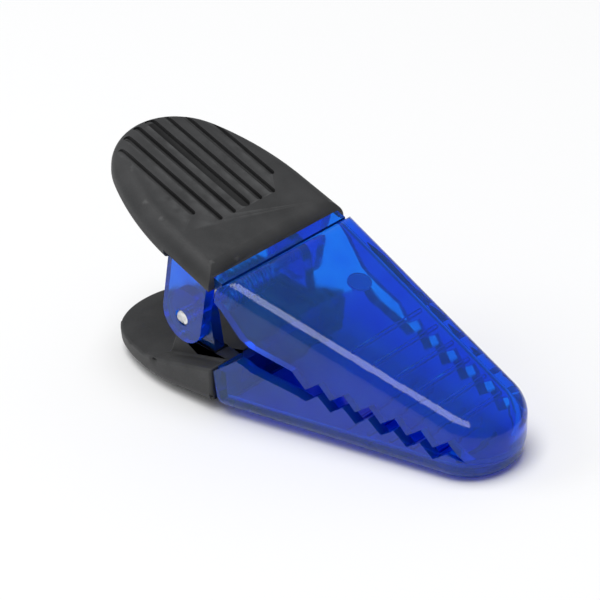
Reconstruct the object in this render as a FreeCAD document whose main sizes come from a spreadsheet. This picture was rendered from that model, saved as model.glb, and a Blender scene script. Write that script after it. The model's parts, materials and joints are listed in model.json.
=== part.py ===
"""Two-lever spring clip for hair sections: translucent jaws, rubber grips, a steel hinge pin and a torsion spring.

Every piece is drawn in the clip's own frame: X runs from the grip seam to the nose, Y across the clip,
Z up, with the closing plane near Z = 0. The lower pieces are drawn like the upper ones and turned over
about X. A last placement lays the clip down as it rests on a table, nose and lower grip end touching.
"""
import FreeCAD, Part
import Sketcher

import math
import os

DOC = FreeCAD.newDocument("sectioning_clip")

SIZES = {
    # whole clip
    "jaw_length": 50.2,        # seam to nose tip
    "handle_length": 36.4,     # seam to grip end
    "half_width": 15.9,        # centre to side face at the seam, on the closing plane
    "seam_height": 13.2,       # closing plane to outer face at the seam
    "draft": 3.66,             # degrees that every side face leans in as it rises from the closing plane
    "jaw_slope": 9.8,          # degrees that the jaw's outer face falls towards the nose
    "grip_slope": 13.4,        # degrees that the grip's outer face rises towards its end
    "nose_radius": 8.4,        # nose seen from above
    "grip_side_straight": 10.4,  # straight side of the grip behind the seam
    "grip_end_radius": 13.3,   # end of the grip seen from above
    "edge_round": 2.8,         # outer edge all round the levers and grips
    # jaw shell
    "wall": 1.8,
    "roof": 1.8,
    "nose_land": 3.6,          # length of the two faces that meet at the nose
    "closing_drop": 1.0,       # the jaws meet this far below the closing plane of the levers
    "nose_gap": 0.1,           # air between the two nose faces
    "tooth_pitch": 4.6,
    "tooth_first": 18.5,       # first tooth tip of the upper jaw, from the seam
    "rib_height": 0.5,
    "rib_width": 0.55,
    "rib_first": 23.4,
    "rib_pitch": 3.95,
    "rib_side_gap": 1.7,       # a rib stops this far from the inside of the wall
    "pad_radius": 2.0,         # round ejector pad under the upper jaw's roof
    "pad_height": 0.35,
    "pad_ahead": 13.4,
    "pad_aside": 4.3,
    # grips
    "grip_wall": 1.3,
    "core": 1.8,               # plastic plate inside the rubber
    "core_forward": 1.7,       # the plate's overlap into the jaw
    "grip_depth": 4.8,         # thickness of a grip over its rear part
    "ear_gap_start": 11.5,     # the upper grip's inner lip ends this far behind the seam
    "skirt_depth": 3.2,        # side skirt of the upper grip beside the ears
    "heel_start": 18.8,        # the lower grip thickens from here to the seam
    "heel_depth": 8.2,         # the lower grip's height at the seam
    "lip_round": 1.2,
    "seat_gap": 0.4,           # air between the upper ears and the raised seats beside the lower ears
    "seat_margin": 0.8,        # rubber either side of a lower ear
    "seat_ahead": 3.2,         # flat top of a seat, behind the pin
    "seat_ramp": 2.4,          # sloping rear end of a seat
    "groove_pitch": 2.95,
    "groove_aside": 0.9,       # the row of grooves sits this far from the middle
    "groove_width": 1.2,
    "groove_wide": 1.9,        # the middle groove
    "groove_depth": 0.85,
    "groove_front": 8.6,       # front end of the grooves behind the seam
    "groove_step": 3.3,        # the outer two grooves stop this much earlier
    "groove_margin": 2.8,      # rear ends stay this far inside the outline
    # hinge
    "pin_back": 8.95,          # pin axis behind the seam
    "pin_drop": 0.1,           # pin axis below the closing plane of the levers
    "pin_radius": 1.4,
    "pin_running": 0.05,       # radial clearance in the ears that turn on the pin
    "pin_chamfer": 0.2,
    "ear_inset": 2.0,          # outer ears stand this far inside the half width
    "ear_radius": 4.6,
    "ear_wall": 2.0,
    "ear_side": 0.3,           # gap between the two levers' ears
    # spring
    "wire_radius": 0.6,
    "coil_clear": 0.5,         # gap between the pin and the coil
    "coil_turns": 6,
    "coil_pitch": 1.35,
    "leg_angle": 40.0,         # degrees between a leg and the closing plane
    "leg_gap": 0.05,
    # how the clip lies on a table, worked out from its shape below
    "rest_tilt": 0.0,
    "rest_shift": 0.0,
    "rest_lift": 0.0,
}
TEETH = 6                      # tooth tips of the upper jaw
RIBS = 6                       # cross ribs under each roof
GROOVES = 7
TILT_STEPS = 24                # halvings in the search for the resting tilt

# free edge of the side walls from the seam to the first tooth: distance ahead, height in the lever's frame
UPPER_THROAT = [("-1", "10.0"), ("0.2", "8.9"), ("1.9", "7.8"), ("4.3", "5.4"), ("5.9", "3.9"),
                ("7.9", "3.1"), ("11.7", "2.7"), ("15.8", "2.3")]
LOWER_THROAT = [("-1", "6.6"), ("0", "5.4"), ("2.3", "3.3"), ("5.2", "0.7"), ("6.4", "0.9"),
                ("8.0", "1.6"), ("11.8", "1.8"), ("15.8", "2.0")]
UPPER_TIP, UPPER_ROOT = "0", "2.1"
LOWER_TIP, LOWER_ROOT = "0.25", "2.4"


def make_sheet():
    sheet = DOC.addObject("Spreadsheet::Sheet", "Sizes")
    for row, (name, number) in enumerate(SIZES.items(), start=1):
        sheet.set(f"A{row}", name)
        sheet.set(f"B{row}", str(number))
        sheet.setAlias(f"B{row}", name)
    DOC.recompute()
    return sheet


SHEET = make_sheet()


def sized(text):
    """An expression in which every size name points at its cell."""
    words = sorted(SIZES, key=len, reverse=True)
    out = text
    for number, word in enumerate(words):
        out = out.replace(word, f"@{number}@")
    for number, word in enumerate(words):
        out = out.replace(f"@{number}@", f"Sizes.{word}")
    return out


def value(text):
    """The number that an expression of sizes has now."""
    found = SHEET.evalExpression(sized(text))
    return float(getattr(found, "Value", found))


def recompute():
    DOC.recompute()
    for item in DOC.Objects:
        if "Invalid" in item.State or "Error" in item.State:
            raise RuntimeError(f"{item.Name} failed: {item.State} {item.getStatusString()}")


def body(name):
    return DOC.addObject("PartDesign::Body", name)


def sketch(owner, name, plane):
    made = owner.newObject("Sketcher::SketchObject", name)
    role = next(f for f in owner.Origin.OriginFeatures if f.Role == plane)
    made.AttachmentSupport = [(role, "")]
    made.MapMode = "FlatFace"
    return made


def pin_point(drawing, element, end, x, y):
    """Holds a sketch point at two distances from the origin that follow the sheet."""
    for kind, text in (("DistanceX", x), ("DistanceY", y)):
        index = drawing.addConstraint(Sketcher.Constraint(kind, -1, 1, element, end, value(text)))
        drawing.setExpression(f"Constraints[{index}]", sized(text))


def bind_radius(drawing, element, text):
    index = drawing.addConstraint(Sketcher.Constraint("Radius", element, value(text)))
    drawing.setExpression(f"Constraints[{index}]", sized(text))


def join(drawing, elements):
    for first, second in zip(elements, elements[1:] + elements[:1]):
        drawing.addConstraint(Sketcher.Constraint("Coincident", first, 2, second, 1))


def point(x, y):
    return FreeCAD.Vector(x, y, 0)


def polygon(drawing, corners):
    """A closed outline of straight lines through corners given as pairs of expressions."""
    places = [point(value(x), value(y)) for x, y in corners]
    lines = [drawing.addGeometry(Part.LineSegment(a, b), False)
             for a, b in zip(places, places[1:] + places[:1])]
    join(drawing, lines)
    for line, (x, y) in zip(lines, corners):
        pin_point(drawing, line, 1, x, y)
    return lines


def pad(owner, drawing, length, both_ways=False):
    made = owner.newObject("PartDesign::Pad", drawing.Name + "_pad")
    made.Profile = drawing
    made.SideType = "Symmetric" if both_ways else "One side"
    made.setExpression("Length", sized(length))
    return made


def pocket_across(owner, drawing, length="2 * half_width + 10"):
    """Cuts the outline through the body, the same distance either side of the sketch plane."""
    made = owner.newObject("PartDesign::Pocket", drawing.Name + "_cut")
    made.Profile = drawing
    made.SideType = "Symmetric"
    before = owner.Shape.Volume if not owner.Shape.isNull() else 0.0
    made.setExpression("Length", sized(length))
    recompute()
    if owner.Shape.Volume >= before - 1e-6:
        raise RuntimeError(f"{made.Name} removed nothing")
    return made


def fillet(owner, base, edges, radius):
    made = owner.newObject("PartDesign::Fillet", base.Name + "_round")
    made.Base = (base, edges)
    made.Refine = False
    made.setExpression("Radius", sized(radius))
    recompute()
    return made


def edge_names(shape, wanted):
    return [f"Edge{number}" for number, edge in enumerate(shape.Edges, start=1) if wanted(edge)]


def span(edge, axis):
    box = edge.BoundBox
    return {"x": (box.XMin, box.XMax), "y": (box.YMin, box.YMax), "z": (box.ZMin, box.ZMax)}[axis]


# ---- outlines seen from above ---------------------------------------------------------------------

def jaw_plan(owner, name, inset="0", back="0"):
    """Nose arc tangent to two sides that taper from the seam; back closes it behind or ahead of the seam."""
    drawing = sketch(owner, name, "XY_Plane")
    centre = value("jaw_length - nose_radius")
    radius = value(f"nose_radius - {inset}")
    side = value(f"half_width - {inset}")
    reach = math.hypot(centre, side)
    lean = math.asin(radius / reach) - math.atan2(side, centre)
    touch = point(centre + radius * math.sin(-lean), radius * math.cos(lean))
    low = point(touch.x, -touch.y)
    rear = value(back)
    upper = drawing.addGeometry(Part.LineSegment(touch, point(rear, side)), False)
    rear_line = drawing.addGeometry(Part.LineSegment(point(rear, side), point(rear, -side)), False)
    lower = drawing.addGeometry(Part.LineSegment(point(rear, -side), low), False)
    circle = Part.Circle(point(centre, 0), FreeCAD.Vector(0, 0, 1), radius)
    start = math.atan2(low.y, low.x - centre)
    arc = drawing.addGeometry(Part.ArcOfCircle(circle, start, -start), False)
    drawing.addConstraint(Sketcher.Constraint("Coincident", upper, 2, rear_line, 1))
    drawing.addConstraint(Sketcher.Constraint("Coincident", rear_line, 2, lower, 1))
    drawing.addConstraint(Sketcher.Constraint("Tangent", lower, 2, arc, 1))
    drawing.addConstraint(Sketcher.Constraint("Tangent", arc, 2, upper, 1))
    pin_point(drawing, arc, 3, "jaw_length - nose_radius", "0")
    bind_radius(drawing, arc, f"nose_radius - {inset}")
    pin_point(drawing, upper, 2, back, f"half_width - {inset}")
    pin_point(drawing, rear_line, 2, back, f"-(half_width - {inset})")
    return drawing


def handle_plan(owner, name, inset="0", front="0"):
    """Straight sides behind the seam, then a side arc and an end arc that run into each other smoothly."""
    drawing = sketch(owner, name, "XY_Plane")
    start_x = value("-grip_side_straight")
    side = value(f"half_width - {inset}")
    end_radius = value(f"grip_end_radius - {inset}")
    end_centre = value("-(handle_length - grip_end_radius)")
    reach = start_x - end_centre
    side_radius = (reach ** 2 + side ** 2 - end_radius ** 2) / (2 * (side - end_radius))
    far = point(start_x, side - side_radius)
    lean = math.atan2(-far.y, end_centre - far.x)
    meet_angle = math.atan2(-far.y, end_centre - start_x)
    meet = point(end_centre + end_radius * math.cos(meet_angle), end_radius * math.sin(meet_angle))
    rear = value(front)
    axis = FreeCAD.Vector(0, 0, 1)
    top = drawing.addGeometry(Part.LineSegment(point(rear, side), point(start_x, side)), False)
    upper = drawing.addGeometry(
        Part.ArcOfCircle(Part.Circle(far, axis, side_radius), math.pi / 2, lean), False)
    end = drawing.addGeometry(
        Part.ArcOfCircle(Part.Circle(point(end_centre, 0), axis, end_radius),
                         meet_angle, 2 * math.pi - meet_angle), False)
    near = point(start_x, side_radius - side)
    lower = drawing.addGeometry(
        Part.ArcOfCircle(Part.Circle(near, axis, side_radius), -lean, -math.pi / 2), False)
    bottom = drawing.addGeometry(Part.LineSegment(point(start_x, -side), point(rear, -side)), False)
    front_line = drawing.addGeometry(Part.LineSegment(point(rear, -side), point(rear, side)), False)
    for first, second, kind in ((top, upper, "Tangent"), (upper, end, "Tangent"), (end, lower, "Tangent"),
                                (lower, bottom, "Tangent"), (bottom, front_line, "Coincident"),
                                (front_line, top, "Coincident")):
        drawing.addConstraint(Sketcher.Constraint(kind, first, 2, second, 1))
    pin_point(drawing, top, 1, front, f"half_width - {inset}")
    pin_point(drawing, bottom, 2, front, f"-(half_width - {inset})")
    pin_point(drawing, top, 2, "-grip_side_straight", f"half_width - {inset}")
    pin_point(drawing, bottom, 1, "-grip_side_straight", f"-(half_width - {inset})")
    pin_point(drawing, end, 3, "-(handle_length - grip_end_radius)", "0")
    bind_radius(drawing, end, f"grip_end_radius - {inset}")
    return drawing


# ---- side view lines ------------------------------------------------------------------------------

def jaw_face(x, below="0"):
    """Height of the jaw's outer face, or of a line below it, at x."""
    return f"(seam_height - ({below}) / cos(jaw_slope * 1deg) - ({x}) * tan(jaw_slope * 1deg))"


def grip_face(x, below="0"):
    return f"(seam_height - ({below}) / cos(grip_slope * 1deg) - ({x}) * tan(grip_slope * 1deg))"


def trim_above(owner, name, below="0", front="jaw_length + 5", back="-handle_length - 5"):
    """Cuts off what stands above the outer faces, or above lines parallel to them and lower."""
    drawing = sketch(owner, name, "XZ_Plane")
    corners = [(back, grip_face(back, below)), ("0", jaw_face("0", below)), (front, jaw_face(front, below)),
               (front, "seam_height * 3"), (back, "seam_height * 3")]
    polygon(drawing, corners)
    return pocket_across(owner, drawing)


def trim_below(owner, name, corners, front, back):
    """Cuts off what hangs below a line of corners that runs from back to front."""
    drawing = sketch(owner, name, "XZ_Plane")
    polygon(drawing, corners + [(front, "-seam_height"), (back, "-seam_height")])
    return pocket_across(owner, drawing)


def prism(owner, drawing):
    """Side faces that lean in by the draft above the closing plane and stand square below it."""
    made = owner.newObject("PartDesign::Pad", drawing.Name + "_pad")
    made.Profile = drawing
    made.SideType = "Two sides"
    made.setExpression("Length", sized("seam_height * 2.5"))
    made.setExpression("TaperAngle", sized("-draft * 1deg"))
    made.setExpression("Length2", sized("closing_drop + nose_gap"))
    return made


def wall_edge(side):
    """Free edge of a jaw's walls, from the seam to the nose: throat, long opening, teeth, nose land.

    side is 1 for the upper jaw and -1 for the lower, whose heights are counted downwards.
    """
    throat = UPPER_THROAT if side == 1 else LOWER_THROAT
    high, low = (UPPER_TIP, UPPER_ROOT) if side == 1 else (LOWER_ROOT, LOWER_TIP)
    teeth = []
    for number in range(TEETH):
        teeth.append((f"tooth_first + {number} * tooth_pitch", high))
        teeth.append((f"tooth_first + {number + 0.5} * tooth_pitch", low))
    land = f"{-side} * closing_drop + nose_gap / 2"
    return throat + teeth + [("jaw_length - nose_land", land), ("jaw_length + 5", land)]


def lever(name, side):
    """One lever: jaw shell with teeth and ribs, plate inside the grip, and two ears for the pin."""
    blank = body(name + "_blank")
    prism(blank, jaw_plan(blank, name + "_plan"))
    recompute()
    cut = trim_above(blank, name + "_face")
    rounding = edge_names(cut.Shape, lambda e: on_roof(e) and span(e, "x")[1] > 0.1)
    fillet(blank, cut, rounding, "edge_round")

    hollow = body(name + "_hollow")
    prism(hollow, jaw_plan(hollow, name + "_inner_plan", "wall"))
    recompute()
    inner = trim_above(hollow, name + "_inner_face", "roof")
    rounding = edge_names(inner.Shape, lambda e: on_roof(e, "roof") and span(e, "x")[1] > 0.1)
    fillet(hollow, inner, rounding, "edge_round - wall / 2")

    shell = DOC.addObject("Part::Cut", name + "_shell")
    shell.Base = blank
    shell.Tool = hollow

    edge = body(name + "_edge")
    drawing = sketch(edge, name + "_edge_line", "XZ_Plane")
    polygon(drawing, wall_edge(side) + [("jaw_length + 5", "-seam_height"), ("-1", "-seam_height")])
    pad(edge, drawing, "2 * half_width + 10", True)

    toothed = DOC.addObject("Part::Cut", name + "_toothed")
    toothed.Base = shell
    toothed.Tool = edge

    pieces = [toothed, handle_core(name), ears(name, side), cross_ribs(name, hollow)]
    if side == 1:
        pieces.append(ejector_pad(name))
    else:
        pieces.append(bulkhead(name))
    whole = DOC.addObject("Part::MultiFuse", name)
    whole.Shapes = pieces
    recompute()
    return whole


def on_roof(edge, below="0"):
    """True for an edge that lies in the jaw's outer face, or in the plane a given depth below it."""
    height = value(jaw_face("0", below))
    slope = math.tan(math.radians(value("jaw_slope")))
    return all(abs(v.Z - (height - slope * v.X)) < 0.01 for v in edge.Vertexes)


def on_grip_face(edge):
    height = value("seam_height")
    slope = math.tan(math.radians(value("grip_slope")))
    return all(abs(v.Z - (height - slope * v.X)) < 0.01 for v in edge.Vertexes)


def handle_core(name):
    core = body(name + "_core")
    prism(core, handle_plan(core, name + "_core_plan", "grip_wall", "core_forward"))
    recompute()
    trim_above(core, name + "_core_face", "grip_wall")
    back = "-handle_length - 5"
    front = "core_forward + 5"
    under = "grip_wall + core"
    trim_below(core, name + "_core_under",
               [(back, grip_face(back, under)), ("0", jaw_face("0", under)), (front, jaw_face(front, under))],
               front, back)
    return core


def pin_height(side):
    """The pin axis in a lever's own frame."""
    return f"{-side} * pin_drop"


def ears(name, side):
    """Two ears square to the outer face, round about the pin, reaching up into the plate."""
    made = body(name + "_ears")
    outer = "(half_width - ear_inset)" if side == 1 else "(half_width - ear_inset - ear_wall - ear_side)"
    hole = "pin_radius + pin_running" if side == 1 else "pin_radius"
    drawing = ear_outline(made, name + "_ear", side, hole)
    pad(made, drawing, f"2 * {outer}", True)
    recompute()
    between = ear_outline(made, name + "_ear_gap", side, None)
    pocket_across(made, between, f"2 * ({outer} - ear_wall)")
    return made


def ear_outline(owner, name, side, hole):
    drawing = sketch(owner, name, "XZ_Plane")
    grow = "" if hole else " + 0.5"
    radius = f"(ear_radius{grow})"
    centre = point(value("-pin_back"), value(pin_height(side)))
    lean = math.radians(value("jaw_slope"))
    along = point(math.sin(lean), math.cos(lean))
    across = point(math.cos(lean), -math.sin(lean))
    root = "(seam_height - grip_wall - core / 2 + pin_back * tan(jaw_slope * 1deg))"
    rise = f"(({root} - {pin_height(side)}) * cos(jaw_slope * 1deg){grow})"
    size = value(radius)
    high = value(rise)
    left = centre - across * size
    right = centre + across * size
    line_a = drawing.addGeometry(Part.LineSegment(left + along * high, left), False)
    axis = FreeCAD.Vector(0, 0, 1)
    arc = drawing.addGeometry(
        Part.ArcOfCircle(Part.Circle(centre, axis, size), math.pi - lean, 2 * math.pi - lean), False)
    line_b = drawing.addGeometry(Part.LineSegment(right, right + along * high), False)
    top = drawing.addGeometry(Part.LineSegment(right + along * high, left + along * high), False)
    drawing.addConstraint(Sketcher.Constraint("Tangent", line_a, 2, arc, 1))
    drawing.addConstraint(Sketcher.Constraint("Tangent", arc, 2, line_b, 1))
    drawing.addConstraint(Sketcher.Constraint("Coincident", line_b, 2, top, 1))
    drawing.addConstraint(Sketcher.Constraint("Coincident", top, 2, line_a, 1))
    pin_point(drawing, arc, 3, "-pin_back", pin_height(side))
    bind_radius(drawing, arc, radius)
    for sign, line, end in (("-", line_a, 1), ("+", line_b, 2)):
        x = f"-pin_back {sign} {radius} * cos(jaw_slope * 1deg) + {rise} * sin(jaw_slope * 1deg)"
        other = "+" if sign == "-" else "-"
        z = f"{pin_height(side)} {other} {radius} * sin(jaw_slope * 1deg) + {rise} * cos(jaw_slope * 1deg)"
        pin_point(drawing, line, end, x, z)
    if hole:
        ring = drawing.addGeometry(Part.Circle(centre, axis, value(hole)), False)
        pin_point(drawing, ring, 3, "-pin_back", pin_height(side))
        bind_radius(drawing, ring, hole)
    return drawing


def cross_ribs(name, hollow):
    """Low ribs across the inside of the roof, cut to the width of the hollow."""
    rows = body(name + "_ribs")
    drawing = sketch(rows, name + "_rib_rows", "XZ_Plane")
    for number in range(RIBS):
        x0 = f"rib_first + {number} * rib_pitch"
        x1 = f"rib_first + {number} * rib_pitch + rib_width"
        polygon(drawing, [(x0, jaw_face(x0, "roof + rib_height")), (x1, jaw_face(x1, "roof + rib_height")),
                          (x1, jaw_face(x1, "roof / 2")), (x0, jaw_face(x0, "roof / 2"))])
    pad(rows, drawing, "2 * half_width", True)
    recompute()
    room = body(name + "_rib_room")
    prism(room, jaw_plan(room, name + "_rib_plan", "(wall + rib_side_gap)", "0"))
    recompute()
    made = DOC.addObject("Part::Common", name + "_rib_set")
    made.Base = rows
    made.Tool = room
    return made


def ejector_pad(name):
    """A low round pad moulded under the roof, left of the middle."""
    made = DOC.addObject("Part::Cylinder", name + "_round_pad")
    made.setExpression("Radius", sized("pad_radius"))
    made.setExpression("Height", sized("roof / 2 + pad_height"))
    made.Placement.Rotation = FreeCAD.Rotation(FreeCAD.Vector(0, 1, 0), value("jaw_slope"))
    made.setExpression("Placement.Rotation.Angle", sized("jaw_slope * 1deg"))
    made.setExpression("Placement.Base.x", sized("pad_ahead"))
    made.setExpression("Placement.Base.y", sized("pad_aside"))
    made.setExpression("Placement.Base.z", sized(jaw_face("pad_ahead", "roof + pad_height")))
    return made


def bulkhead(name):
    """Cross wall of the lower lever at the seam, which the grip's heel butts against."""
    made = body(name + "_bulkhead")
    drawing = sketch(made, name + "_bulkhead_line", "XZ_Plane")
    foot = jaw_face("0", "roof / 2")
    polygon(drawing, [("0", "seam_height - heel_depth"), ("wall", "seam_height - heel_depth"),
                      ("wall", foot + " - wall * tan(jaw_slope * 1deg)"), ("0", foot)])
    pad(made, drawing, "2 * (half_width - wall)", True)
    return made


# ---- grips ----------------------------------------------------------------------------------------

def grip(name, side, core, ear_set):
    """Rubber boot: a rounded plate round the lever's plate, open at the ears."""
    made = body(name + "_boot")
    prism(made, handle_plan(made, name + "_plan"))
    recompute()
    faced = trim_above(made, name + "_face")
    outer = edge_names(faced.Shape, lambda e: on_grip_face(e) and span(e, "x")[0] < -0.1)
    fillet(made, faced, outer, "edge_round")
    back = "-handle_length - 5"
    gap = "-ear_gap_start"
    if side == 1:
        under = [(back, grip_face(back, "grip_depth")), (gap, grip_face(gap, "grip_depth")),
                 (gap, grip_face(gap, "skirt_depth")), ("5", grip_face("5", "skirt_depth"))]
    else:
        start = "-heel_start"
        under = [(back, grip_face(back, "grip_depth")), (start, grip_face(start, "grip_depth")),
                 ("0", "seam_height - heel_depth"), ("5", "seam_height - heel_depth")]
    trimmed = trim_below(made, name + "_under", under, "5", back)
    if side == 1:
        lip = edge_names(trimmed.Shape, lambda e: is_lip(e, under, value(gap) + 0.1))
        fillet(made, trimmed, lip, "lip_round")
    tools = [core, ear_set]
    if side == 1:
        tools.append(groove_cutters(name))
        tools.append(open_belly(name))
    cutter = DOC.addObject("Part::MultiFuse", name + "_cutters")
    cutter.Shapes = tools
    base = made
    if side == -1:
        seats = ear_seats(name)
        base = DOC.addObject("Part::Fuse", name + "_seated")
        base.Base = made
        base.Tool = seats
    whole = DOC.addObject("Part::Cut", name)
    whole.Base = base
    whole.Tool = cutter
    recompute()
    return whole


def ear_seats(name):
    """Two raised blocks of rubber that hold the feet of the lower ears, with the spring's room between them."""
    made = body(name + "_seats")
    drawing = sketch(made, name + "_seat_line", "XZ_Plane")
    top = "(ear_radius + seat_gap + pin_drop)"
    back = "-(pin_back + seat_ahead)"
    foot = "-(pin_back + seat_ahead + seat_ramp)"
    deep = "grip_depth / 2"
    polygon(drawing, [("0", top), (back, top), (foot, grip_face(foot, "grip_depth")), (foot, grip_face(foot, deep)),
                      ("0", grip_face("0", deep))])
    outer = "(half_width - ear_inset - ear_wall - ear_side)"
    pad(made, drawing, f"2 * ({outer} + seat_margin)", True)
    recompute()
    room = sketch(made, name + "_seat_room", "XZ_Plane")
    polygon(room, [("5", "0"), ("-handle_length", "0"), ("-handle_length", "seam_height * 3"),
                   ("5", "seam_height * 3")])
    pocket_across(made, room, f"2 * ({outer} - ear_wall - seat_margin)")
    return made


def is_lip(edge, under, last):
    """True for an edge along the rim of the grip's inner face, up to the x given as last."""
    low, high = span(edge, "x")
    across = high - low < 0.01 and abs(edge.Vertexes[0].X) < value("handle_length") * 0.9
    return not across and high < last and all(on_line(v.Point, under) for v in edge.Vertexes)


def on_line(place, corners):
    """True where a point lies under the line through corners, seen from the side."""
    spots = [(value(x), value(z)) for x, z in corners]
    for (x0, z0), (x1, z1) in zip(spots, spots[1:]):
        if x1 - x0 > 1e-6 and x0 - 0.01 <= place.x <= x1 + 0.01:
            if abs(z0 + (z1 - z0) * (place.x - x0) / (x1 - x0) - place.z) < 0.02:
                return True
    return False


def open_belly(name):
    """Room between the skirts, where the upper grip has no inner layer."""
    made = body(name + "_belly")
    drawing = sketch(made, name + "_belly_line", "XZ_Plane")
    gap = "-ear_gap_start"
    under = "grip_wall + core / 2"
    polygon(drawing, [(gap, grip_face(gap, under)), ("0", grip_face("0", under)), ("5", grip_face("0", under)),
                      ("5", "0"), (gap, "0")])
    pad(made, drawing, "2 * (half_width - ear_inset)", True)
    return made


def groove_cutters(name):
    """Seven lengthwise grooves, each with round ends, following the grip's face."""
    rows = body(name + "_grooves")
    drawing = sketch(rows, name + "_groove_plan", "XY_Plane")
    middle = (GROOVES - 1) / 2
    for number in range(GROOVES):
        offset = f"({number - middle} * groove_pitch)"
        across = f"(groove_aside + {offset})"
        wide = "groove_wide" if number == middle else "groove_width"
        front = "-(groove_front + groove_step)" if number in (0, GROOVES - 1) else "-groove_front"
        rear = (f"-(handle_length - groove_margin"
                f" - (grip_end_radius - sqrt(grip_end_radius ^ 2 - (0.95 * {offset}) ^ 2)))")
        slot(drawing, rear, front, across, wide)
    pad(rows, drawing, "seam_height * 2.5")
    recompute()
    trim_below(rows, name + "_groove_floor",
               [("-handle_length - 5", grip_face("-handle_length - 5", "groove_depth")),
                ("5", grip_face("5", "groove_depth"))], "5", "-handle_length - 5")
    return rows


def slot(drawing, x0, x1, y, wide):
    """A straight slot with half-round ends, from x0 to x1 along y."""
    half = value(wide) / 2
    ends = [value(x0) + half, value(x1) - half]
    height = value(y)
    axis = FreeCAD.Vector(0, 0, 1)
    upper = drawing.addGeometry(
        Part.LineSegment(point(ends[1], height + half), point(ends[0], height + half)), False)
    left = drawing.addGeometry(
        Part.ArcOfCircle(Part.Circle(point(ends[0], height), axis, half), math.pi / 2, 1.5 * math.pi), False)
    lower = drawing.addGeometry(
        Part.LineSegment(point(ends[0], height - half), point(ends[1], height - half)), False)
    right = drawing.addGeometry(
        Part.ArcOfCircle(Part.Circle(point(ends[1], height), axis, half), -math.pi / 2, math.pi / 2), False)
    for first, second in ((upper, left), (left, lower), (lower, right), (right, upper)):
        drawing.addConstraint(Sketcher.Constraint("Tangent", first, 2, second, 1))
    pin_point(drawing, left, 3, f"{x0} + {wide} / 2", y)
    x_only = drawing.addConstraint(Sketcher.Constraint("DistanceX", -1, 1, right, 3, ends[1]))
    drawing.setExpression(f"Constraints[{x_only}]", sized(f"{x1} - {wide} / 2"))
    drawing.addConstraint(Sketcher.Constraint("Horizontal", upper))
    bind_radius(drawing, left, f"{wide} / 2")


# ---- pin and spring -------------------------------------------------------------------------------

def hinge_pin():
    made = body("hinge_pin")
    drawing = sketch(made, "pin_circle", "XZ_Plane")
    centre = point(value("-pin_back"), value("-pin_drop"))
    ring = drawing.addGeometry(
        Part.Circle(centre, FreeCAD.Vector(0, 0, 1), value("pin_radius")), False)
    pin_point(drawing, ring, 3, "-pin_back", "-pin_drop")
    bind_radius(drawing, ring, "pin_radius")
    shaft = pad(made, drawing, "2 * (half_width - ear_inset)", True)
    recompute()
    rims = edge_names(shaft.Shape, lambda e: e.Curve.TypeId == "Part::GeomCircle")
    ends = made.newObject("PartDesign::Chamfer", "pin_ends")
    ends.Base = (shaft, rims)
    ends.setExpression("Size", sized("pin_chamfer"))
    recompute()
    return made


def torsion_spring():
    """Coil round the pin with two straight legs that press the handles apart."""
    coil_radius = value("pin_radius + coil_clear + wire_radius")
    pitch = value("coil_pitch")
    wire = value("wire_radius")
    lean = math.radians(value("leg_angle"))
    attach = math.pi / 2 - lean
    turns = value("coil_turns") + attach / math.pi
    length = pitch * turns
    rise = pitch / (2 * math.pi * coil_radius)
    helix = Part.makeHelix(pitch, length, coil_radius)
    helix.rotate(FreeCAD.Vector(0, 0, 0), FreeCAD.Vector(0, 0, 1), -math.degrees(attach))
    parts = []
    ends = ((-attach, 0.0, -1, value("pin_drop")), (attach, length, 1, value("-pin_drop")))
    for angle, height, way, pin_z in ends:
        start = FreeCAD.Vector(coil_radius * math.cos(angle), coil_radius * math.sin(angle), height)
        heading = FreeCAD.Vector(-way * math.sin(angle), way * math.cos(angle), way * rise).normalize()
        reach = leg_reach(abs(start.y) + pin_z, start.x, -heading.x, abs(heading.y))
        parts.append(Part.makeCylinder(wire, reach, start, heading))
        parts.append(Part.makeSphere(wire, start + heading * reach))
        if way == -1:
            section = Part.Wire([Part.makeCircle(wire, start, heading)])
    coil = Part.Wire(helix.Edges).makePipeShell([section], True, True)
    solid = coil.fuse(parts).removeSplitter()
    turn = FreeCAD.Rotation(FreeCAD.Vector(1, 0, 0), 90)
    centre = FreeCAD.Vector(value("-pin_back"), length / 2, value("-pin_drop"))
    laid = FreeCAD.Placement(centre, turn)
    made = DOC.addObject("Part::Feature", "torsion_spring")
    made.Shape = solid.transformed(laid.toMatrix(), True)
    return made


def leg_reach(height, ahead, back_step, up_step):
    """Length of a leg from its tangent point to where it just clears the grip's inner face."""
    slope = math.tan(math.radians(value("grip_slope")))
    level = value("seam_height - (grip_depth + wire_radius + leg_gap) / cos(grip_slope * 1deg)")
    start_x = value("-pin_back") + ahead
    return (level - slope * start_x - height) / (up_step - slope * back_step)


# ---- the clip laid down ---------------------------------------------------------------------------

def lowest(shape, tilt):
    turned = shape.copy()
    turned.rotate(FreeCAD.Vector(0, 0, 0), FreeCAD.Vector(0, 1, 0), tilt)
    return turned.optimalBoundingBox(False, False)


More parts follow.
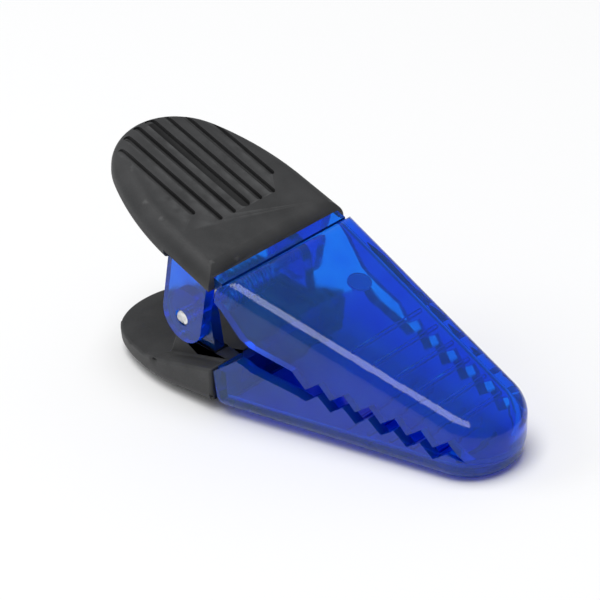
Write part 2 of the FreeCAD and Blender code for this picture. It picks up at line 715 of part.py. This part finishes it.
def settle(lower, boot, others):
    """Finds the tilt at which the lower jaw and the lower grip both touch the table, and the shift that
    puts the middle of the clip's box over the origin."""
    over = FreeCAD.Placement(FreeCAD.Vector(0, 0, 0), FreeCAD.Rotation(FreeCAD.Vector(1, 0, 0), 180))
    turned = [shape.transformed(over.toMatrix()) for shape in (lower.Shape, boot.Shape)]
    low, high = 0.0, 25.0
    for _ in range(TILT_STEPS):
        tilt = (low + high) / 2
        if lowest(turned[0], tilt).ZMin > lowest(turned[1], tilt).ZMin:
            low = tilt
        else:
            high = tilt
    boxes = [lowest(shape, tilt) for shape in turned + [item.Shape for item in others]]
    x_min = min(box.XMin for box in boxes)
    x_max = max(box.XMax for box in boxes)
    SHEET.set(f"B{row_of('rest_tilt')}", str(round(tilt, 6)))
    SHEET.set(f"B{row_of('rest_shift')}", str(round(-(x_min + x_max) / 2, 6)))
    SHEET.set(f"B{row_of('rest_lift')}", str(round(-min(box.ZMin for box in boxes), 6)))
    DOC.recompute()


def row_of(name):
    return list(SIZES).index(name) + 1


REST = ("placement(vector(Sizes.rest_shift * 1mm; 0mm; Sizes.rest_lift * 1mm);"
        " rotation(vector(0; 1; 0); Sizes.rest_tilt * 1deg))")
TURN_OVER = "placement(vector(0mm; 0mm; 0mm); rotation(vector(1; 0; 0); 180deg))"


def lay_down(item, turned_over):
    text = f"{REST} * {TURN_OVER}" if turned_over else REST
    item.setExpression("Placement", text)


def main():
    upper = lever("upper_lever", 1)
    lower = lever("lower_lever", -1)
    upper_grip = grip("upper_grip", 1, DOC.getObject("upper_lever_core"), DOC.getObject("upper_lever_ears"))
    lower_grip = grip("lower_grip", -1, DOC.getObject("lower_lever_core"), DOC.getObject("lower_lever_ears"))
    pin = hinge_pin()
    spring = torsion_spring()
    settle(lower, lower_grip, [upper, upper_grip])
    nodes = {"lower_lever": (lower, True), "upper_lever": (upper, False),
             "lower_grip": (lower_grip, True), "upper_grip": (upper_grip, False),
             "hinge_pin": (pin, False), "torsion_spring": (spring, False)}
    for label, (item, turned_over) in nodes.items():
        item.Label = label
        lay_down(item, turned_over)
    recompute()
    os.makedirs("parts", exist_ok=True)
    for label, (item, _) in nodes.items():
        shape = item.Shape
        if shape.isNull() or not shape.isValid():
            raise RuntimeError(f"{label} has no valid shape")
        box = shape.optimalBoundingBox(False, False)
        print(f"{label}: {len(shape.Solids)} solid, {shape.Volume:.0f} mm3,"
              f" x {box.XMin:.2f} {box.XMax:.2f}, y {box.YMin:.2f} {box.YMax:.2f}, z {box.ZMin:.2f} {box.ZMax:.2f}")
        shape.exportStep(f"parts/{label}.step")
    for name in ("rest_tilt", "rest_shift", "rest_lift"):
        print(name, SHEET.get(name))


main()
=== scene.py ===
# %% [markdown]
# # A spring clip with see-through jaws
#
# The clip is two moulded levers that turn on one steel pin. Each lever ends in a toothed jaw of clear blue
# plastic at the front and in a rubber-covered handle at the back, and a coil spring between the handles
# keeps the jaws shut. The measured model arrives as a fixed frame, and every piece below is dressed around
# it.

# %% Load the frame
import json
import math

import bmesh
import bpy
from mathutils import Matrix, Vector


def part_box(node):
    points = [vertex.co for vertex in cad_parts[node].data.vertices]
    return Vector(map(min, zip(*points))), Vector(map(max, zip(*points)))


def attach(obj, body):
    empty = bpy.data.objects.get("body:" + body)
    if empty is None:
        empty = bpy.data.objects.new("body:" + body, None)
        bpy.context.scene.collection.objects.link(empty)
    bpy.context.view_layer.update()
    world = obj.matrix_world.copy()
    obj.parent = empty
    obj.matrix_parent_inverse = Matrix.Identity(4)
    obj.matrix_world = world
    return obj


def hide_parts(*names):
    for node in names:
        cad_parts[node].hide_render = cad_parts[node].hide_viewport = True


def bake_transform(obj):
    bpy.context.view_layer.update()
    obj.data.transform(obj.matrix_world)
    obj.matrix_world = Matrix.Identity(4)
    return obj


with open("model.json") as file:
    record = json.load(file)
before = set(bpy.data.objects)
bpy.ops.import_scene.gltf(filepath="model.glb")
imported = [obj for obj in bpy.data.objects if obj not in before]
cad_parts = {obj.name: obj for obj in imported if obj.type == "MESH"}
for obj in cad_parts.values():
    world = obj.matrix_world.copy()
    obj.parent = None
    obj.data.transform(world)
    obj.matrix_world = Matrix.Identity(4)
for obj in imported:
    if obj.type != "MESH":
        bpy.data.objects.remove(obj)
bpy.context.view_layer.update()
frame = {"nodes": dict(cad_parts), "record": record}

MM = 0.001
HINGE = next(joint for joint in frame["record"]["behaviour"]["joints"] if joint["name"] == "jaw_hinge")
PIN_CENTRE = Vector(HINGE["pos_m"])
print("frame nodes:", sorted(frame["nodes"]))
print("pin centre in mm:", [round(c / MM, 2) for c in PIN_CENTRE])

# %% [markdown]
# ## Effects that several finishes share
#
# Moulded plastic, rubber and steel all have a fine unevenness, and all of them are rubbed lighter and smoother
# where hands touch their edges. The edge group also gives a mask of inward corners, which the rubber uses to
# paint shade into its grooves. Painting each material apart would repeat the same nodes, so each effect is one
# node group that gives out a value, and every finish places it with its own size and strength.

# %% Group: grain
def add_node(tree, kind, **values):
    node = tree.nodes.new(kind)
    for key, value in values.items():
        setattr(node, key, value)
    return node


def group_shell(name, inputs, outputs):
    """A new group with named float inputs (name, default) and float outputs."""
    group = bpy.data.node_groups.new(name, "ShaderNodeTree")
    group.interface.new_socket("Place", in_out="INPUT", socket_type="NodeSocketVector")
    for label, default in inputs:
        socket = group.interface.new_socket(label, in_out="INPUT", socket_type="NodeSocketFloat")
        socket.default_value = default
    for label in outputs:
        group.interface.new_socket(label, in_out="OUTPUT", socket_type="NodeSocketFloat")
    return group, add_node(group, "NodeGroupInput"), add_node(group, "NodeGroupOutput")


def grain_group():
    """Two sizes of noise: a fine grain in Height, and a slow drift from place to place in Drift."""
    group, given, out = group_shell("moulded_grain", [("Fine", 2500.0), ("Slow", 120.0)], ["Height", "Drift"])
    fine = add_node(group, "ShaderNodeTexNoise")
    slow = add_node(group, "ShaderNodeTexNoise")
    fine.inputs["Detail"].default_value = 3.0
    slow.inputs["Detail"].default_value = 2.0
    for node, label in ((fine, "Fine"), (slow, "Slow")):
        group.links.new(given.outputs["Place"], node.inputs["Vector"])
        group.links.new(given.outputs[label], node.inputs["Scale"])
    group.links.new(fine.outputs["Fac"], out.inputs["Height"])
    group.links.new(slow.outputs["Fac"], out.inputs["Drift"])
    return group


# %% Group: worn edges and painted corner shade
EDGE_STARTS, EDGE_FULL = 0.505, 0.60
CORNER_STARTS, CORNER_FULL = 0.498, 0.47
PATCH_STARTS, PATCH_FULL = 0.3, 0.65


def sharp_range(group, source, start, full):
    """A value that rises from 0 where the source is at start to 1 where it is at full."""
    node = add_node(group, "ShaderNodeMapRange")
    node.inputs["From Min"].default_value = start
    node.inputs["From Max"].default_value = full
    group.links.new(source, node.inputs["Value"])
    return node.outputs["Result"]


def wear_and_shade_group():
    """Wear is 1 on outward edges and 0 on flats, broken up by noise so that it looks rubbed; CornerShade is 1
    in inward corners, a mask for shade painted into a colour."""
    group, given, out = group_shell("worn_edges_and_corner_shade", [("Break", 900.0), ("Strength", 1.0)], ["Wear", "CornerShade"])
    shape = add_node(group, "ShaderNodeNewGeometry")
    patchy = add_node(group, "ShaderNodeTexNoise")
    patchy.inputs["Detail"].default_value = 4.0
    both = add_node(group, "ShaderNodeMath", operation="MULTIPLY")
    scaled = add_node(group, "ShaderNodeMath", operation="MULTIPLY", use_clamp=True)
    link = group.links.new
    bend = shape.outputs["Pointiness"]
    link(given.outputs["Place"], patchy.inputs["Vector"])
    link(given.outputs["Break"], patchy.inputs["Scale"])
    link(sharp_range(group, bend, EDGE_STARTS, EDGE_FULL), both.inputs[0])
    link(sharp_range(group, patchy.outputs["Fac"], PATCH_STARTS, PATCH_FULL), both.inputs[1])
    link(both.outputs["Value"], scaled.inputs[0])
    link(given.outputs["Strength"], scaled.inputs[1])
    link(scaled.outputs["Value"], out.inputs["Wear"])
    # The corner mask marks where shade is painted, not dirt.
    link(sharp_range(group, bend, CORNER_STARTS, CORNER_FULL), out.inputs["CornerShade"])
    return group


GRAIN = grain_group()
WEAR_AND_SHADE = wear_and_shade_group()
print("shared groups:", GRAIN.name, WEAR_AND_SHADE.name)

# %% [markdown]
# ## Helpers for one finish
#
# Every finish starts as one Principled shader. A finish then varies three things over the surface: its
# colour between two close tones, its roughness between two values, and its height for the bump. These
# helpers wire such a variation, so that each finish below reads as a short list of its own values.

# %% Finish helpers
def new_finish(name):
    material = bpy.data.materials.new(name)
    material.use_nodes = True
    tree = material.node_tree
    place = add_node(tree, "ShaderNodeTexCoord").outputs["Object"]
    return material, tree, tree.nodes["Principled BSDF"], place


def use_group(tree, group, place, **values):
    node = add_node(tree, "ShaderNodeGroup", node_tree=group)
    tree.links.new(place, node.inputs["Place"])
    for label, value in values.items():
        node.inputs[label].default_value = value
    return node


def spread_value(tree, source, low, high, start=0.3, stop=0.7):
    """Maps a 0 to 1 pattern onto the range from low to high."""
    node = add_node(tree, "ShaderNodeMapRange")
    node.inputs["From Min"].default_value = start
    node.inputs["From Max"].default_value = stop
    node.inputs["To Min"].default_value = low
    node.inputs["To Max"].default_value = high
    tree.links.new(source, node.inputs["Value"])
    return node.outputs["Result"]


def mix_colours(tree, factor, first, second):
    """first and second are colours or sockets; factor is a socket."""
    node = add_node(tree, "ShaderNodeMix", data_type="RGBA")
    tree.links.new(factor, node.inputs["Factor"])
    for label, value in (("A", first), ("B", second)):
        socket = next(s for s in node.inputs if s.name == label and s.type == "RGBA")
        if isinstance(value, tuple):
            socket.default_value = value
        else:
            tree.links.new(value, socket)
    return next(s for s in node.outputs if s.type == "RGBA")


def mix_values(tree, factor, first, second):
    node = add_node(tree, "ShaderNodeMix")
    tree.links.new(factor, node.inputs["Factor"])
    for index, value in ((2, first), (3, second)):
        if isinstance(value, float):
            node.inputs[index].default_value = value
        else:
            tree.links.new(value, node.inputs[index])
    return node.outputs[0]


def bump(tree, shader, height, strength, distance, under=None):
    node = add_node(tree, "ShaderNodeBump")
    node.inputs["Strength"].default_value = strength
    node.inputs["Distance"].default_value = distance
    tree.links.new(height, node.inputs["Height"])
    if under:
        tree.links.new(under.outputs["Normal"], node.inputs["Normal"])
    tree.links.new(node.outputs["Normal"], shader.inputs["Normal"])
    return node


# %% [markdown]
# ## Clear blue plastic
#
# The levers are moulded from a tinted clear plastic, most likely polycarbonate. Light loses its red and
# part of its green on the way through, so a thick place is a much deeper blue than a thin one. A tint on
# the surface alone would make every wall the same colour, so the tint is shared between the surface and an
# absorbing volume. The skin is glossy, with a slow waviness left by the mould, a few fine scuffs, and one
# frosted disc where the ejector pushed the moulding out.

# %% Finish: clear blue plastic
PLASTIC_TINT = (0.04, 0.32, 1.0, 1)
PLASTIC_TINT_DEEP = (0.025, 0.22, 0.93, 1)
BODY_TINT = (0.0, 0.86, 0.985, 1)
BODY_DENSITY = 1700.0


def clear_plastic():
    material, tree, shader, place = new_finish("clear_blue_plastic")
    grain = use_group(tree, GRAIN, place, Fine=900.0, Slow=150.0)
    wear_and_shade = use_group(tree, WEAR_AND_SHADE, place, Break=600.0, Strength=0.6)
    scuffs = add_node(tree, "ShaderNodeTexNoise")
    scuffs.inputs["Scale"].default_value = 260.0
    scuffs.inputs["Detail"].default_value = 6.0
    scuffs.inputs["Roughness"].default_value = 0.7
    stretch = add_node(tree, "ShaderNodeMapping")
    stretch.inputs["Scale"].default_value = (0.35, 2.2, 1.0)
    tree.links.new(place, stretch.inputs["Vector"])
    tree.links.new(stretch.outputs["Vector"], scuffs.inputs["Vector"])
    frost = add_node(tree, "ShaderNodeAttribute", attribute_name="frost")
    tree.links.new(mix_colours(tree, spread_value(tree, grain.outputs["Drift"], 0.0, 1.0),
                               PLASTIC_TINT, PLASTIC_TINT_DEEP), shader.inputs["Base Color"])
    polished = mix_values(tree, spread_value(tree, scuffs.outputs["Fac"], 0.0, 1.0, 0.5, 0.8), 0.025, 0.16)
    rubbed = mix_values(tree, wear_and_shade.outputs["Wear"], polished, 0.24)
    tree.links.new(mix_values(tree, frost.outputs["Fac"], rubbed, 0.75), shader.inputs["Roughness"])
    waves = bump(tree, shader, grain.outputs["Drift"], 0.25, 0.25 * MM)
    bump(tree, shader, grain.outputs["Height"], 0.03, 0.02 * MM, waves)
    shader.inputs["Transmission Weight"].default_value = 0.88
    shader.inputs["IOR"].default_value = 1.4
    shader.inputs["Specular IOR Level"].default_value = 0.25
    body = add_node(tree, "ShaderNodeVolumeAbsorption")
    body.inputs["Color"].default_value = BODY_TINT
    body.inputs["Density"].default_value = BODY_DENSITY
    tree.links.new(body.outputs["Volume"], tree.nodes["Material Output"].inputs["Volume"])
    return material


PLASTIC = clear_plastic()

# %% [markdown]
# ## Black rubber
#
# The handles wear a soft black rubber. It is not truly black: its skin has a fine tooth that scatters
# light, and it turns greyer where a thumb polishes its edges. A low, rough reflection with a little sheen
# gives that dusty look, where a plain dark colour would look like paint.

# %% Finish: black rubber
RUBBER_DARK = (0.026, 0.0265, 0.0275, 1)
RUBBER_GREY = (0.042, 0.0425, 0.044, 1)
RUBBER_WORN = (0.075, 0.076, 0.078, 1)
RUBBER_SHADE = (0.002, 0.002, 0.0025, 1)


def grip_rubber():
    material, tree, shader, place = new_finish("black_rubber")
    grain = use_group(tree, GRAIN, place, Fine=4200.0, Slow=170.0)
    wear_and_shade = use_group(tree, WEAR_AND_SHADE, place, Break=420.0, Strength=0.85)
    base = mix_colours(tree, spread_value(tree, grain.outputs["Drift"], 0.0, 1.0), RUBBER_DARK, RUBBER_GREY)
    rubbed = mix_colours(tree, wear_and_shade.outputs["Wear"], base, RUBBER_WORN)
    # Groove bottoms and inward corners are mixed towards near black: painted shade.
    tree.links.new(mix_colours(tree, wear_and_shade.outputs["CornerShade"], rubbed, RUBBER_SHADE), shader.inputs["Base Color"])
    matt = spread_value(tree, grain.outputs["Height"], 0.52, 0.68)
    tree.links.new(mix_values(tree, wear_and_shade.outputs["Wear"], matt, 0.42), shader.inputs["Roughness"])
    shader.inputs["Specular IOR Level"].default_value = 0.3
    shader.inputs["Sheen Weight"].default_value = 0.03
    shader.inputs["Sheen Roughness"].default_value = 0.5
    soft = bump(tree, shader, grain.outputs["Drift"], 0.3, 0.15 * MM)
    bump(tree, shader, grain.outputs["Height"], 0.35, 0.05 * MM, soft)
    return material


RUBBER = grip_rubber()

# %% [markdown]
# ## Drawn steel
#
# The pin and the spring are cut from drawn wire. Drawing leaves fine lines along the wire and handling
# leaves dull spots, so the roughness changes in thin streaks, and the colour drifts a little between bright
# and grey.

# %% Finish: drawn steel
STEEL_BRIGHT = (0.80, 0.80, 0.79, 1)
STEEL_DULL = (0.52, 0.53, 0.55, 1)


def drawn_steel(name, streaks):
    """streaks stretches the drawing lines along the wire: (x, y, z) scales of the pattern."""
    material, tree, shader, place = new_finish(name)
    stretch = add_node(tree, "ShaderNodeMapping")
    stretch.inputs["Scale"].default_value = streaks
    tree.links.new(place, stretch.inputs["Vector"])
    grain = use_group(tree, GRAIN, stretch.outputs["Vector"], Fine=3200.0, Slow=380.0)
    wear_and_shade = use_group(tree, WEAR_AND_SHADE, place, Break=1500.0, Strength=0.8)
    base = mix_colours(tree, spread_value(tree, grain.outputs["Drift"], 0.0, 1.0, 0.4, 0.6),
                       STEEL_BRIGHT, STEEL_DULL)
    tree.links.new(mix_colours(tree, wear_and_shade.outputs["Wear"], base, STEEL_BRIGHT), shader.inputs["Base Color"])
    tree.links.new(spread_value(tree, grain.outputs["Height"], 0.2, 0.42), shader.inputs["Roughness"])
    shader.inputs["Metallic"].default_value = 1.0
    bump(tree, shader, grain.outputs["Height"], 0.2, 0.02 * MM)
    return material


PIN_STEEL = drawn_steel("pin_steel", (1.0, 0.08, 1.0))
SPRING_STEEL = drawn_steel("spring_steel", (1.0, 1.0, 0.3))

# %% [markdown]
# ## From loose triangles to a clean shell
#
# A measured node arrives as loose triangles. Glossy plastic shows every fault in its shading, so the levers
# and grips are copied, their corners welded and their flat areas merged into single faces. Sharp edges are
# then given a fine bevel, because a moulded edge always has a small radius that catches the light. The
# other way would be to model each lever again by hand, but the welded copy keeps the exact size of every
# tooth.

# %% A welded copy of a measured node
WELD = 0.002 * MM
FLAT = math.radians(0.4)
CREASE = math.radians(28)
SHADING_WEIGHT = 60


def welded_copy(node, name):
    """A bmesh of the node with its corners welded and its flat areas merged."""
    mesh = bmesh.new()
    mesh.from_mesh(frame["nodes"][node].data)
    bmesh.ops.remove_doubles(mesh, verts=mesh.verts, dist=WELD)
    bmesh.ops.dissolve_degenerate(mesh, edges=mesh.edges, dist=WELD)
    bmesh.ops.dissolve_limit(mesh, angle_limit=FLAT, verts=mesh.verts, edges=mesh.edges)
    print(name, "faces", len(mesh.faces), "open edges", sum(1 for e in mesh.edges if not e.is_manifold))
    return mesh


def finish_piece(mesh, name, body, material, slot, *nodes, crease=CREASE):
    """Turns a bmesh into a smooth-shaded object with crisp creases that rides on a body."""
    for face in mesh.faces:
        face.smooth = True
    for edge in mesh.edges:
        edge.smooth = not (len(edge.link_faces) == 2 and edge.calc_face_angle(0.0) > crease)
    data = bpy.data.meshes.new(name)
    mesh.to_mesh(data)
    mesh.free()
    piece = bpy.data.objects.new(name, data)
    bpy.context.scene.collection.objects.link(piece)
    data.materials.append(material)
    if body:
        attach(piece, body)
    if nodes:
        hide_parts(*nodes)
    return piece


def soften(piece, width, segments=2, angle=CREASE, clamp=True):
    """Rounds every crease of a piece by the given radius and evens out the shading beside it."""
    bevel = piece.modifiers.new("edge radius", "BEVEL")
    bevel.width = width
    bevel.segments = segments
    bevel.limit_method = "ANGLE"
    bevel.angle_limit = angle
    bevel.harden_normals = False
    bevel.use_clamp_overlap = clamp
    normals = piece.modifiers.new("even shading", "WEIGHTED_NORMAL")
    normals.keep_sharp = True
    normals.weight = SHADING_WEIGHT


# %% [markdown]
# ## The two levers
#
# Each lever is one moulding: a shallow toothed jaw, a flat plate inside the handle and two ears for the
# pin. The ejector leaves a low round pad under the upper roof. The steel there is not polished, so its face
# is frosted, and that is kept as an attribute on the vertices of the pad, which the plastic reads.

# %% Levers
PAD_FACE = Vector((9.12, 4.3, 20.10)) * MM
PAD_RADIUS = 2.0 * MM
PAD_SLACK = 0.15 * MM
ROOF_TILT = math.radians(21.05)
MOULDED_EDGE = 0.12 * MM


def frost_ejector_pad(mesh):
    """Marks the rim of the round pad's face: the vertices on its plane and within its radius."""
    roof_normal = Vector((math.sin(ROOF_TILT), 0, math.cos(ROOF_TILT)))
    layer = mesh.verts.layers.float.new("frost")
    rim = []
    for vertex in mesh.verts:
        offset = vertex.co - PAD_FACE
        depth = offset.dot(roof_normal)
        if abs(depth) < PAD_SLACK and (offset - roof_normal * depth).length < PAD_RADIUS + PAD_SLACK:
            vertex[layer] = 1.0
            rim.append(vertex)
    print("frosted rim vertices:", len(rim))


for node, body in (("lower_lever", "lower"), ("upper_lever", "upper")):
    shell = welded_copy(node, node)
    if node == "upper_lever":
        frost_ejector_pad(shell)
    lever = finish_piece(shell, node + "_shell", body, PLASTIC, "jaw_plastic", node)
    soften(lever, MOULDED_EDGE)

# %% [markdown]
# ## The rubber boots
#
# A boot is moulded over the end of each lever. Rubber can't hold a crisp edge, so its edges are rounded far
# more than those of the plastic. The top boot has finger grooves with soft lips.

# %% Rubber boots
LOWER_RIM, UPPER_RIM = 0.5 * MM, 0.28 * MM
for node, body, radius in (("lower_grip", "lower", LOWER_RIM), ("upper_grip", "upper", UPPER_RIM)):
    boot = finish_piece(welded_copy(node, node), node + "_boot", body, RUBBER, "grip_rubber", node)
    soften(boot, radius, segments=4, clamp=body == "upper")

# %% [markdown]
# ## The hinge pin
#
# The pin is a length of wire pushed through four ears. Its ends are struck after assembly, so they are
# slightly domed and their rims are uneven. A lathe profile spun round the pin's axis gives the dome; a
# plain cylinder would show a flat, perfect disc.

# %% Hinge pin
DOME = [(0.0, 1.006), (0.45, 1.005), (0.78, 1.001), (0.93, 0.996), (1.0, 0.985)]
PIN_STEPS = 40
STRUCK_FROM = 0.94
STRUCK_DEPTH, STRUCK_WIDTH = 0.006, 0.04
PIN_CREASE = math.radians(60)


def spun_pin(name, half_length, radius):
    """Half profile of the pin, spun round the axis across the clip."""
    mesh = bmesh.new()
    points = [(r * radius, y * half_length) for r, y in DOME]
    points += [(r, -y) for r, y in reversed(points)]
    verts = [mesh.verts.new((r, y, 0)) for r, y in points]
    edges = [mesh.edges.new(pair) for pair in zip(verts, verts[1:])]
    bmesh.ops.spin(mesh, geom=verts + edges, cent=(0, 0, 0), axis=(0, 1, 0), dvec=(0, 0, 0),
                   angle=2 * math.pi, steps=PIN_STEPS, use_merge=True)
    bmesh.ops.remove_doubles(mesh, verts=mesh.verts, dist=WELD)
    bmesh.ops.dissolve_degenerate(mesh, edges=mesh.edges, dist=WELD)
    bmesh.ops.recalc_face_normals(mesh, faces=mesh.faces)
    for vertex in mesh.verts:
        if abs(vertex.co.y) > STRUCK_FROM * half_length:
            around = math.atan2(vertex.co.z, vertex.co.x)
            vertex.co.y *= 1 - STRUCK_DEPTH * (1 + math.sin(3 * around + 0.8))
            vertex.co.x *= 1 + STRUCK_WIDTH * math.sin(2 * around + 0.5)
    bmesh.ops.translate(mesh, verts=mesh.verts, vec=PIN_CENTRE)
    print(name, "faces", len(mesh.faces), "open edges", sum(1 for e in mesh.edges if not e.is_manifold))
    return mesh


PIN_LOW, PIN_HIGH = (Vector(corner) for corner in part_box("hinge_pin"))
pin_half_length = (PIN_HIGH.y - PIN_LOW.y) / 2
pin_radius = (PIN_HIGH.z - PIN_LOW.z) / 2
finish_piece(spun_pin("hinge_pin", pin_half_length, pin_radius), "struck_pin", "lower",
             PIN_STEEL, "steel", "hinge_pin", crease=PIN_CREASE)

# %% [markdown]
# ## The torsion spring
#
# The spring's coil sits on the pin and each leg presses on one handle; when the handles are squeezed the coil
# winds up. The wire here is the measured spring, welded, with its placement baked into its points, and it is
# not attached to either lever.

# %% Torsion spring
WIRE_CREASE = math.radians(50)
spring = finish_piece(welded_copy("torsion_spring", "torsion_spring"), "torsion_spring_wire", None,
                      SPRING_STEEL, "steel", "torsion_spring", crease=WIRE_CREASE)
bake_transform(spring)

# %% [markdown]
# ## Camera
#
# A long lens from above the nose's near side shows the top face, the near side and the teeth at once. The
# camera is level with neither end, so it is rolled a few degrees.

# %% Camera
scene = bpy.context.scene
CAMERA_PLACE = Vector((200.793, -170.094, 155.582)) * MM
CAMERA_AIM = Vector((0.682, -1.102, 17.661)) * MM
CAMERA_ROLL = math.radians(-8.389)
LENS = 109.943
camera_data = bpy.data.cameras.new("camera")
camera_data.lens = LENS
camera_data.sensor_width = 36
camera_data.clip_start = 0.01
camera = bpy.data.objects.new("camera", camera_data)
scene.collection.objects.link(camera)
look = (CAMERA_AIM - CAMERA_PLACE).to_track_quat("-Z", "Y").to_matrix()
turned = (look @ Matrix.Rotation(CAMERA_ROLL, 3, "Z")).to_4x4()
camera.matrix_world = Matrix.Translation(CAMERA_PLACE) @ turned
scene.camera = camera

# %% [markdown]
# ## Floor and light
#
# Clear plastic shows whatever is behind it, so the floor is plain and bright and lit from a large panel
# high above. The surroundings are dimmer than the floor, or their reflection would wash the blue out. One
# soft box low on the left draws the pale line along the near top edges.

# %% Floor
floor_mesh = bmesh.new()
FLOOR_HALF = 2.0
bmesh.ops.create_grid(floor_mesh, x_segments=1, y_segments=1, size=FLOOR_HALF)
floor_data = bpy.data.meshes.new("floor")
floor_mesh.to_mesh(floor_data)
floor_mesh.free()
floor = bpy.data.objects.new("floor", floor_data)
scene.collection.objects.link(floor)
floor_material, floor_tree, floor_shader, floor_place = new_finish("pale_floor")
floor_grain = use_group(floor_tree, GRAIN, floor_place, Fine=300.0, Slow=3.0)
floor_tree.links.new(mix_colours(floor_tree, floor_grain.outputs["Drift"], (0.93, 0.93, 0.93, 1),
                                 (0.95, 0.95, 0.95, 1)), floor_shader.inputs["Base Color"])
floor_shader.inputs["Roughness"].default_value = 0.85
floor_shader.inputs["Specular IOR Level"].default_value = 0.1
floor_data.materials.append(floor_material)

# %% Lights
def soft_panel(name, towards, distance, size, power):
    """A square soft light at a direction and distance from the clip, facing it."""
    data = bpy.data.lights.new(name, "AREA")
    data.shape = "SQUARE"
    data.size = size
    data.energy = power
    light = bpy.data.objects.new(name, data)
    scene.collection.objects.link(light)
    place = CAMERA_AIM + Vector(towards).normalized() * distance
    light.location = place
    light.rotation_euler = (CAMERA_AIM - place).to_track_quat("-Z", "Y").to_euler()
    return light


soft_panel("overhead_panel", towards=(0.1, -0.15, 1.0), distance=3.0, size=2.0, power=74.0)
soft_panel("left_soft_box", towards=(-0.65, -0.475, 0.56), distance=0.9, size=0.45, power=1.1)

world = bpy.data.worlds.new("studio")
scene.world = world
world.use_nodes = True
world.node_tree.nodes["Background"].inputs["Color"].default_value = (0.97, 0.98, 1, 1)
world.node_tree.nodes["Background"].inputs["Strength"].default_value = 0.3
scene.view_settings.view_transform = "Standard"
scene.cycles.max_bounces = 24
scene.cycles.transmission_bounces = 24
scene.cycles.diffuse_bounces = 6
scene.cycles.glossy_bounces = 8
